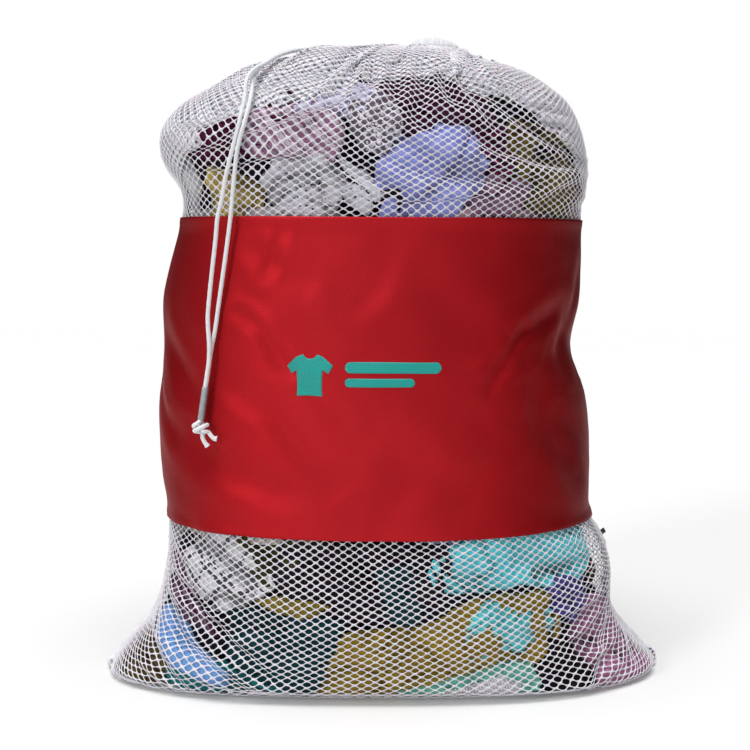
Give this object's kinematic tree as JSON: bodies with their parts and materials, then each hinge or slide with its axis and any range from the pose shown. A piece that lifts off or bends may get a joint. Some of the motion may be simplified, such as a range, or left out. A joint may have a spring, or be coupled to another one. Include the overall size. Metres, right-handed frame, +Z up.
{
  "type": "mesh laundry bag",
  "caption": "Drawstring mesh laundry bag with a wide woven band round its middle, stuffed with washing and drawn shut, standing on its base.",
  "frame": {"origin": "on the floor under the middle of the bag", "axes": "+X to the bag's right seen from the front, the front faces -Y, +Z up"},
  "size_m": [0.5778, 0.3234, 0.6604],
  "materials": {
    "white_net": "matte",
    "red_nylon": "satin",
    "seam_white": "matte",
    "hem_white": "matte",
    "cord_white": "matte",
    "sleeve_grey": "satin",
    "sky_jersey": "matte",
    "teal_towel": "matte",
    "mustard_blanket": "matte",
    "mauve_robe": "matte",
    "navy_jeans": "matte",
    "brown_sweater": "matte",
    "plaid_shirt": "matte",
    "olive_trousers": "matte",
    "black_cardigan": "matte",
    "aqua_towel": "matte",
    "grey_sheet": "matte",
    "purple_scarf": "matte",
    "bath_sheet_left": "matte",
    "bath_sheet_right": "matte",
    "duvet_cover": "matte",
    "pillow_case": "matte",
    "yellow_blouse": "matte",
    "lace_top": "matte",
    "lavender_tee": "matte",
    "khaki_chinos": "matte",
    "white_vest": "matte",
    "pink_pyjamas": "matte",
    "burgundy_shirt": "matte",
    "crochet_throw": "matte",
    "plum_skirt": "matte",
    "rust_jacket": "matte"
  },
  "bodies": {
    "bag": {"front_lower_mesh": "white_net", "front_band": "red_nylon", "front_upper_mesh": "white_net", "back_lower_mesh": "white_net", "back_band": "red_nylon", "back_upper_mesh": "white_net", "left_side_seam": "seam_white", "right_side_seam": "seam_white", "bottom_seam": "seam_white", "hem_casing": "hem_white", "drawcord_loop": "cord_white", "left_strand": "cord_white", "right_strand": "cord_white", "end_knot": "cord_white", "left_tail": "cord_white", "right_tail": "cord_white", "sky_jersey": "sky_jersey", "teal_towel": "teal_towel", "mustard_blanket": "mustard_blanket", "mauve_robe": "mauve_robe", "navy_jeans": "navy_jeans", "brown_sweater": "brown_sweater", "plaid_shirt": "plaid_shirt", "olive_trousers": "olive_trousers", "black_cardigan": "black_cardigan", "aqua_towel": "aqua_towel", "grey_sheet": "grey_sheet", "purple_scarf": "purple_scarf", "bath_sheet_left": "bath_sheet_left", "bath_sheet_right": "bath_sheet_right", "duvet_cover": "duvet_cover", "pillow_case": "pillow_case", "yellow_blouse": "yellow_blouse", "lace_top": "lace_top", "lavender_tee": "lavender_tee", "khaki_chinos": "khaki_chinos", "white_vest": "white_vest", "pink_pyjamas": "pink_pyjamas", "burgundy_shirt": "burgundy_shirt", "crochet_throw": "crochet_throw", "plum_skirt": "plum_skirt", "rust_jacket": "rust_jacket"},
    "sleeve": {"cord_sleeve": "sleeve_grey"}
  },
  "joints": [
    {"name": "sleeve_slide", "type": "slide", "parent": "bag", "child": "sleeve", "axis": [0.1511, 0, 0.9885], "range_m": [0, 0.02]}
  ]
}
